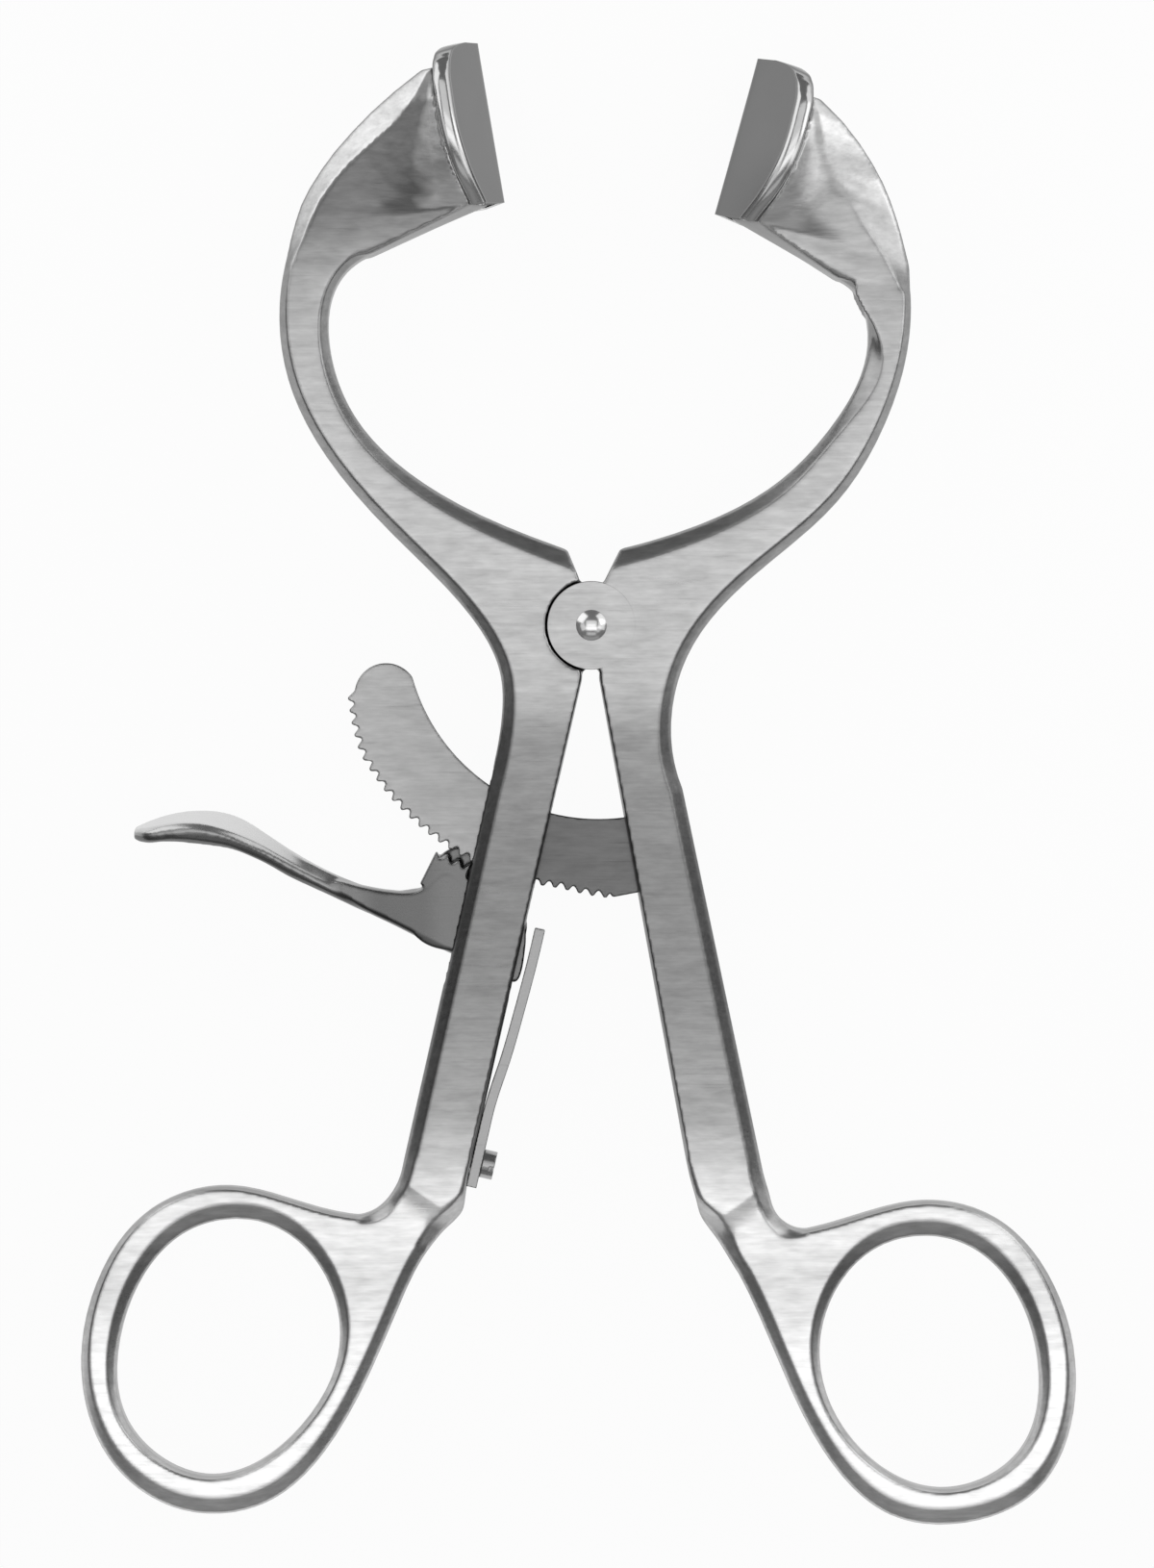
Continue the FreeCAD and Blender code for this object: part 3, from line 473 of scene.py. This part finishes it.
# Necks: the shank's end and the root of the ring, in one smooth body. Its left and right sides run through
# the stations, and "bands" are the widths of the bevels there, square to each side and as deep as the slope
# makes them. The flat face ends in a shallow V, and beyond it the face falls by a quarter sine wave to the
# ring's height. "taken" is the outline of the block that comes out of the lever first.
necks = {
    "left_lever": {
        "left": [(-19.45, -55.3), (-19.9, -57.2), (-20.5, -58.58), (-21.4, -59.87), (-22.44, -60.78),
                 (-23.5, -61.27), (-24.5, -61.5), (-25.5, -61.6)],
        "right": [(-12.37, -55.3), (-12.78, -57.0), (-13.12, -59.3), (-13.4, -60.9), (-14.2, -61.95),
                  (-15.6, -63.3), (-17.0, -65.05), (-18.4, -67.1)],
        "bands": [(1.25, 0.35), (1.2, 0.4), (1.15, 0.7), (1.1, 1.6), (1.1, 1.7), (1.05, 1.6), (0.9, 1.45),
                  (0.5, 1.3)],
        "flatEnd": [(-19.12, -58.1), (-15.68, -60.46), (-14.15, -59.5)],
        "taken": [(-22.5, -56.2), (-24.6, -60.0), (-24.3, -62.2), (-16.0, -65.6), (-11.0, -62.5),
                  (-11.0, -56.2)]},
    "right_lever": {
        "left": [(9.83, -55.3), (10.22, -57.3), (10.9, -59.76), (11.35, -61.42), (12.15, -62.69),
                 (13.1, -63.95), (14.0, -65.37), (15.1, -67.2)],
        "right": [(17.54, -55.3), (17.97, -57.2), (18.5, -59.0), (18.95, -60.6), (19.7, -61.8),
                  (21.0, -62.67), (22.4, -62.93), (24.2, -62.72)],
        "bands": [(0.35, 1.3), (0.5, 1.5), (0.7, 1.5), (1.7, 1.3), (1.8, 1.2), (1.6, 1.1), (1.35, 0.8),
                  (1.25, 0.35)],
        "flatEnd": [(11.47, -59.76), (13.77, -61.29), (16.58, -59.25)],
        "taken": [(9.0, -56.2), (10.0, -63.5), (13.4, -66.6), (22.6, -63.6), (22.6, -61.5), (20.5, -61.0),
                  (20.5, -56.2)]},
}
neckShape = {"middle": 3.0, "top": 5.97, "fall": 0.5, "fallLength": 3.0, "slope": 0.92, "rows": 110,
             "across": 40, "down": 8, "takenLow": -2.0, "takenHigh": 8.0}


def neckSurface(facts, shape):
    t = np.linspace(0, 1, shape["rows"])
    knots = np.linspace(0, 1, len(facts["left"]))
    (leftX, leftY), (rightX, rightY), bands = (
        [smoothThrough(list(zip(knots, column)), t)[:, None] for column in np.array(facts[key]).T]
        for key in ("left", "right", "bands"))
    width = np.hypot(rightX - leftX, rightY - leftY)
    share = np.linspace(0, 1, shape["across"])[None, :]
    alongX, alongY = (rightX - leftX) / width, (rightY - leftY) / width
    bevels = []
    for band, sideX, sideY in ((bands[0], leftX, leftY), (bands[1], rightX, rightY)):
        stepX, stepY = np.gradient(sideX[:, 0])[:, None], np.gradient(sideY[:, 0])[:, None]
        bevels.append(band * np.hypot(stepX, stepY) / np.abs(stepX * alongY - stepY * alongX))
    step = np.linspace(0, 1, shape["down"] + 1)[None, 1:]
    flat = bevels[0] + (width - bevels[0] - bevels[1]) * share
    across = np.concatenate([(bevels[0] * (1 - step))[:, ::-1], flat, width - bevels[1] * (1 - step)], axis=1)
    down = np.concatenate([(bands[0] * step)[:, ::-1], 0 * flat, bands[1] * step], axis=1) * shape["slope"]
    x = leftX + (rightX - leftX) * across / width
    y = leftY + (rightY - leftY) * across / width
    (ax, ay), (tx, ty), (bx, by) = facts["flatEnd"]
    beyond = [((x - tx) * (ey - sy) - (y - ty) * (ex - sx)) / np.hypot(ex - sx, ey - sy)
              for sx, sy, ex, ey in ((ax, ay, tx, ty), (tx, ty, bx, by))]
    past = np.clip(np.maximum(*beyond) / shape["fallLength"], 0, 1)
    rise = shape["top"] - shape["middle"] - shape["fall"] * np.sin(past * pi / 2) - down
    upper = np.stack([x, y, shape["middle"] + rise], axis=-1)
    lower = np.stack([x, y, shape["middle"] - rise], axis=-1)[:, ::-1]
    return np.concatenate([upper, lower], axis=1)


def blockSurface(outline, shape):
    # an upright block: its outline at the low height and again at the high one
    corners = np.array(outline)
    heights = shape["takenLow"], shape["takenHigh"]
    return np.stack([np.column_stack([corners, np.full(len(corners), z)]) for z in heights])


skins = {"pawl_lever": [surface("thumb", thumbSurface(thumb)), surface("web", webSurface(web))]}
taken = {}
for nodeName, neck in necks.items():
    skins[nodeName] = [surface(nodeName + "_neck", neckSurface(neck, neckShape))]
    taken[nodeName] = surface(nodeName + "_taken", blockSurface(neck["taken"], neckShape))
for nodeName in workedEdges:
    worked(nodeName, **workedEdges[nodeName], skins=skins.get(nodeName, ()), taken=taken.get(nodeName))


# Disc of the right lever's hub, with a crisp edge: a profile (radius, height) turned about the pivot
hubDisc = {"radius": 4.60, "top": 6.004, "bottom": 5.2, "edge": 0.05, "corner": 0.3, "inner": 1.3,
           "around": 240}


def turnedProfile(profile, around):
    angle = np.linspace(0, 2 * pi, around, endpoint=False)
    return np.stack([profile[:, :1] * np.cos(angle), profile[:, :1] * np.sin(angle),
                     np.repeat(profile[:, 1:], around, axis=1)], axis=-1)


def hubSurface(facts):
    inner, radius, top, bottom, edge = (facts[key] for key in ("inner", "radius", "top", "bottom", "edge"))
    corner = edge * facts["corner"]
    profile = np.array([(inner, bottom), (inner, top - edge), (inner + corner, top - corner),
                        (inner + edge, top), (inner + 2 * edge, top), (radius - 2 * edge, top),
                        (radius - edge, top), (radius - corner, top - corner), (radius, top - edge),
                        (radius, top - 2 * edge), (radius, bottom)])
    return turnedProfile(profile, facts["around"])


hub = surface("rightHubDisc", hubSurface(hubDisc))
hub.data.materials.append(finishes["leverSteel"])
bpy.context.scene.collection.objects.link(hub)
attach(hub, "right_lever")


# Rivet: a profile (radius, height) turned about the pivot. The head is a cap of one sphere on a short
# straight rim, and the closed end widens into its countersink.
rivet = {"headRadius": 1.6, "headSeat": 6.03, "headRise": 0.62, "rim": 0.10, "shaft": 1.35, "flare": 1.83,
         "flareDepth": 0.48, "back": 0.01, "backShare": 0.98, "axisGap": 0.01, "firstTilt": 0.01,
         "domeRows": 40, "around": 128}


def rivetSurface(facts):
    rise, reach = facts["headRise"], facts["headRadius"]
    sphere = (reach ** 2 + rise ** 2) / (2 * rise)
    tilt = np.linspace(facts["firstTilt"], np.arcsin(reach / sphere), facts["domeRows"])
    dome = np.stack([sphere * np.sin(tilt),
                     facts["headSeat"] + facts["rim"] + rise - sphere * (1 - np.cos(tilt))], axis=1)
    tail = [(reach, facts["headSeat"]), (facts["shaft"], facts["headSeat"]),
            (facts["shaft"], facts["back"] + facts["flareDepth"]), (facts["flare"], facts["back"]),
            (facts["flare"] * facts["backShare"], facts["back"]), (facts["axisGap"], facts["back"])]
    return turnedProfile(np.concatenate([dome, np.array(tail)]), facts["around"])


takesThePlaceOf(surface("rivetHead", rivetSurface(rivet)), "pivot_rivet")


# Bite plates. Each is drawn in its jaw's axes: s from heel to tip along the meeting edge, q outwards from
# it, w up from the middle plane. Its section is a V strip carried along s: the inner face is fall times the
# root of w * w + ridge * ridge, a V with its ridge just rounded, the back lies a thickness behind it, and a
# half-round rim closes it at the half width.

plates = {
    "left_bite_plate": {"heel": (-9.0, 44.2), "tip": (-11.8, 60.8), "fall": 0.44, "side": -1},
    "right_bite_plate": {"heel": (12.8, 43.0), "tip": (17.3, 59.3), "fall": 0.63, "side": 1},
}
plateShape = {
    "thickness": 1.85, "middle": 3.0, "length": 16.84, "rimBulge": 0.6, "ridge": 0.12,
    "halfWidths": [(0.0, 4.9), (3.0, 6.9), (6.9, 8.4), (11.2, 8.65), (14.1, 8.2), (15.3, 7.5), (16.2, 6.3),
                   (16.6, 5.0), (16.84, 3.4)],
    "along": 120, "across": 60, "round": 28,
}


def plateSurface(jaw, shape):
    s = shape["length"] * (1 - np.cos(np.linspace(0, pi, shape["along"]))) / 2
    half = smoothThrough(shape["halfWidths"], s)[:, None]
    fall, thick, ridge = jaw["fall"], shape["thickness"], shape["ridge"]
    share = np.linspace(1, -1, shape["across"])[None, :]
    faceHalf = half - shape["rimBulge"]
    w = share * faceHalf
    inner = fall * np.sqrt(w ** 2 + ridge ** 2)
    back = inner + thick
    turn = np.linspace(-pi / 2, pi / 2, shape["round"] + 2)[None, 1:-1]
    rimMiddle = fall * faceHalf + thick / 2
    upperQ = rimMiddle + np.sin(turn) * thick / 2
    upperW = faceHalf + np.cos(turn) * shape["rimBulge"]
    q = np.concatenate([inner[:, ::-1], upperQ, back, upperQ[:, ::-1]], axis=1)
    w = np.concatenate([w[:, ::-1], upperW, w, -upperW[:, ::-1]], axis=1)
    (hx, hy), (tx, ty) = jaw["heel"], jaw["tip"]
    length = np.hypot(tx - hx, ty - hy)
    ex, ey = (tx - hx) / length, (ty - hy) / length
    ox, oy = (ey, -ex) if jaw["side"] > 0 else (-ey, ex)
    along = np.repeat(s[:, None], q.shape[1], axis=1)
    return np.stack([hx + ex * along + ox * q, hy + ey * along + oy * q, shape["middle"] + w], axis=-1)


for nodeName, jaw in plates.items():
    takesThePlaceOf(surface(nodeName + "_polished", plateSurface(jaw, plateShape)), nodeName)
print("plates and rivet made")

# The CAD nodes have the same finishes, also the pin, which no piece replaces
for nodeName, (finish, slot) in pieceFinish.items():
    shown = frame["nodes"][nodeName]
    shown.data.materials.clear()
    shown.data.materials.append(finishes[finish])


# Stage: the view, the floor and the light

stage = {   # lengths in mm, and photoSize and pivotPixel in pixels of the photo
    "photoSize": (1200, 1630), "mmPerPixel": 0.1, "pivotPixel": (615, 650), "faceHeight": 6.0, "lens": 160.0,
    "sensor": 36.0, "nearClip": 10, "farClip": 10000, "floorGap": 0.15, "floorSize": 5000,
    "floorShade": 0.88, "floorWhite": 0.95, "skyShade": 0.16,
}


def camera():
    # straight down on the flat instrument, so far off that the photo's height fills the long side
    width, height = stage["photoSize"]
    scale = stage["mmPerPixel"]
    x = (width / 2 - stage["pivotPixel"][0]) * scale
    y = (stage["pivotPixel"][1] - height / 2) * scale
    reach = height * scale * stage["lens"] / stage["sensor"]
    lens = bpy.data.cameras.new("photoView")
    lens.lens = stage["lens"]
    lens.sensor_width = stage["sensor"]
    lens.clip_start, lens.clip_end = stage["nearClip"] * mm, stage["farClip"] * mm
    seen = bpy.data.objects.new("photoView", lens)
    seen.location = (x * mm, y * mm, (stage["faceHeight"] + reach) * mm)
    bpy.context.scene.collection.objects.link(seen)
    bpy.context.scene.camera = seen


def paleWhenSeen(f, shader, share):
    # a share of white where the camera, a mirror or glass sees it, and the shader itself for every other ray
    path = f.tree.nodes.new("ShaderNodeLightPath")
    rays = ("Is Camera Ray", "Is Glossy Ray", "Is Transmission Ray")
    seen = [Value(f.tree, path.outputs[name]) for name in rays]
    mask = (seen[0] + seen[1] + seen[2]).clamped()
    white = f.node("ShaderNodeEmission", Color=grey(1.0), Strength=1.0)
    return f.node("ShaderNodeMixShader", i0=mask * share, i1=shader, i2=white)


def floor():
    low = cadLow.z - stage["floorGap"] * mm
    half = stage["floorSize"] * mm / 2
    mesh = bpy.data.meshes.new("floor")
    corners = [(-half, -half, low), (half, -half, low), (half, half, low), (-half, half, low)]
    mesh.from_pydata(corners, [], [(0, 1, 2, 3)])
    sheet = bpy.data.objects.new("floor", mesh)
    bpy.context.scene.collection.objects.link(sheet)
    material = bpy.data.materials.new("floorPaper")
    material.use_nodes = True
    f = Finish(material.node_tree)
    paper = f.node("ShaderNodeBsdfDiffuse", Color=grey(stage["floorShade"]))
    f.node("ShaderNodeOutputMaterial", Surface=paleWhenSeen(f, paper, stage["floorWhite"]))
    mesh.materials.append(material)


def sky():
    world = bpy.data.worlds.new("studio")
    bpy.context.scene.world = world
    world.use_nodes = True
    f = Finish(world.node_tree)
    back = f.node("ShaderNodeBackground", Color=grey(stage["skyShade"]), Strength=1.0)
    f.node("ShaderNodeOutputWorld", Surface=back)


lamps = {   # place, size and the point that it faces in mm. glow is the brightness that a mirror would show
    "overheadBox": {"place": (0, -10, 620), "size": (640, 600), "faces": (0, -10, 0), "glow": 0.62},
    "middleStrip": {"place": (0, 10, 600), "size": (520, 110), "faces": (0, 10, 0), "glow": 0.40},
    "footStrip": {"place": (0, -160, 600), "size": (640, 150), "faces": (0, -100, 0), "glow": 0.55},
    "leftJawPanel": {"place": (-150, 130, 95), "size": (170, 170), "faces": (-26, 50, 3), "glow": 1.0},
    "rightJawPanel": {"place": (158, 110, 85), "size": (190, 150), "faces": (26, 48, 3), "glow": 0.78},
    "rightJawSide": {"place": (122, 22, 88), "size": (130, 100), "faces": (26, 48, 3), "glow": 0.62},
    "leftFlarePanel": {"place": (-204, -37, 223), "size": (170, 130), "faces": (-22, 48, 3), "glow": 0.52},
    "rightFlarePanel": {"place": (171, -89, 223), "size": (150, 120), "faces": (24, 48, 3), "glow": 0.38},
    "footPanel": {"place": (0, -400, 130), "size": (560, 170), "faces": (0, -85, 3), "glow": 0.14},
    "lowFrontPanel": {"place": (0, -220, 235), "size": (260, 90), "faces": (0, 48, 3), "glow": 0.36},
}


def lamp(name, place, size, faces, glow):
    # its power is the glow times pi times its area
    light = bpy.data.lights.new(name, "AREA")
    light.shape = "RECTANGLE"
    light.size, light.size_y = size[0] * mm, size[1] * mm
    light.energy = glow * pi * light.size * light.size_y
    made = bpy.data.objects.new(name, light)
    made.location = tuple(v * mm for v in place)
    aim = Vector([v * mm for v in faces]) - made.location
    made.rotation_mode = "QUATERNION"
    made.rotation_quaternion = aim.to_track_quat("-Z", "Y")
    made.visible_camera = False
    bpy.context.scene.collection.objects.link(made)


camera()
floor()
sky()
for name, facts in lamps.items():
    lamp(name, **facts)
bpy.context.scene.view_settings.view_transform = "Standard"
print("stage set")
